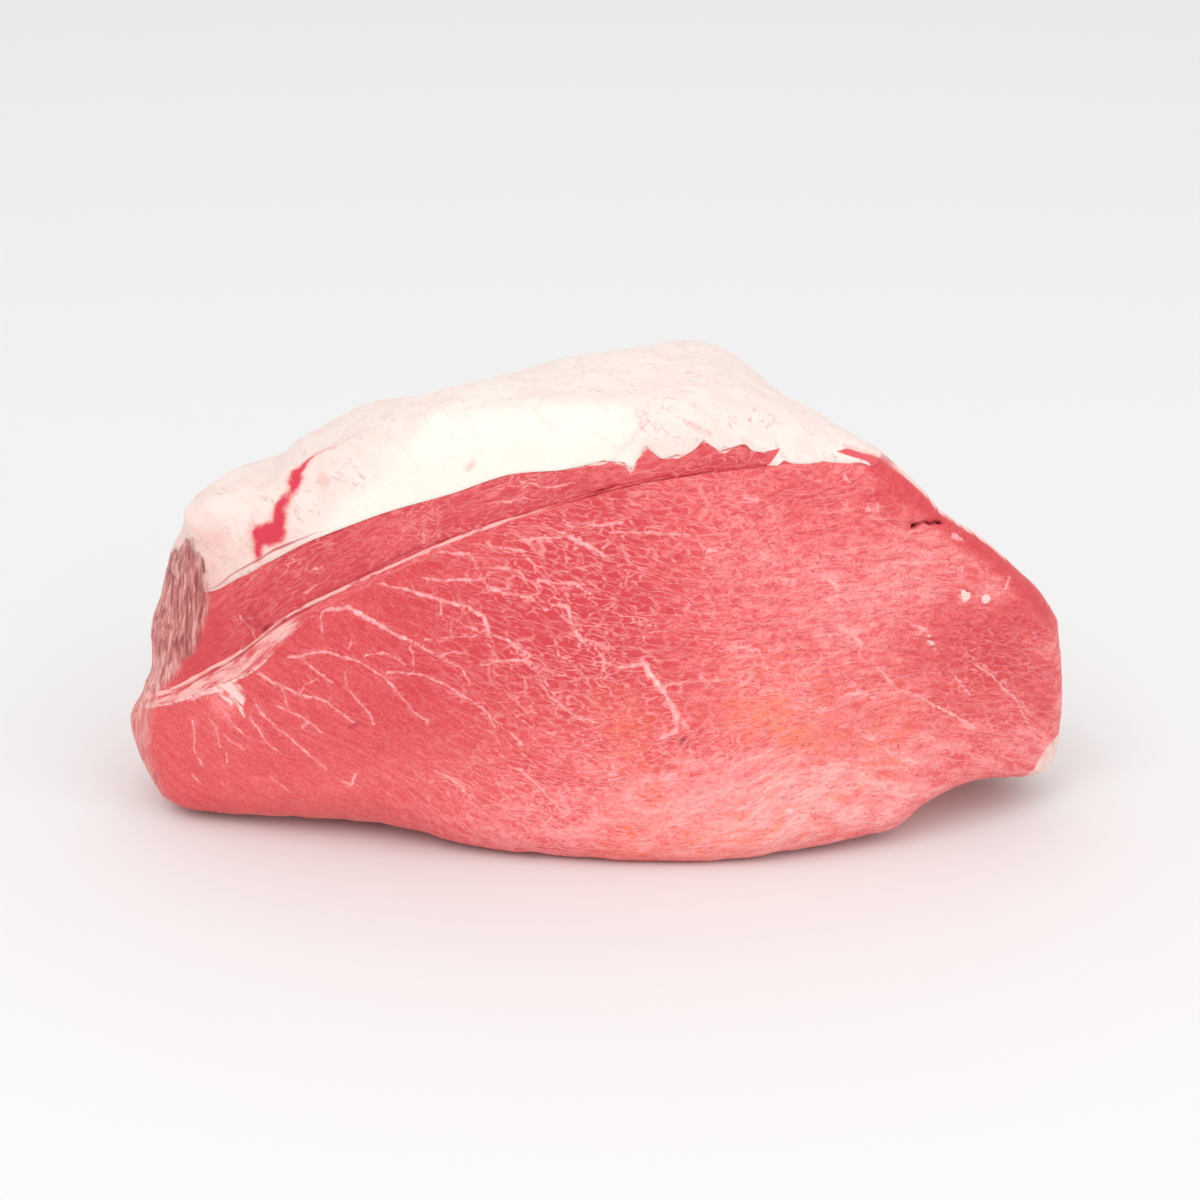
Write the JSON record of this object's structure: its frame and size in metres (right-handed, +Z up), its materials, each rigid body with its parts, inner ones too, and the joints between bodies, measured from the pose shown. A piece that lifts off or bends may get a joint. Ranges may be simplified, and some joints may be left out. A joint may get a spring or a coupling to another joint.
{
  "type": "raw beef topside joint",
  "caption": "Raw beef joint: a wide lean muscle with a cut marbled face, a thinner cap muscle over it, a pale connective seam between them and a thick fat cap on top.",
  "frame": {"origin": "centre of the joint's bounding box, on the table it rests on", "axes": "+X to the right along the joint's length as seen from the cut face, +Y from the cut face back into the joint, +Z up"},
  "size_m": [0.2614, 0.1165, 0.1273],
  "materials": {
    "lean_meat": "moist, slightly glossy raw lean beef",
    "cap_meat": "moist, slightly glossy raw lean beef, dried at its left end",
    "connective_tissue": "smooth, moist and pale pink",
    "hard_fat": "waxy, satin, creamy white",
    "soft_fat": "waxy, satin, pinkish white"
  },
  "bodies": {
    "root": {"main_muscle": "lean_meat", "cap_muscle": "cap_meat", "connective_seam": "connective_tissue", "fat_cap": "hard_fat", "fat_corner": "soft_fat"}
  },
  "joints": []
}
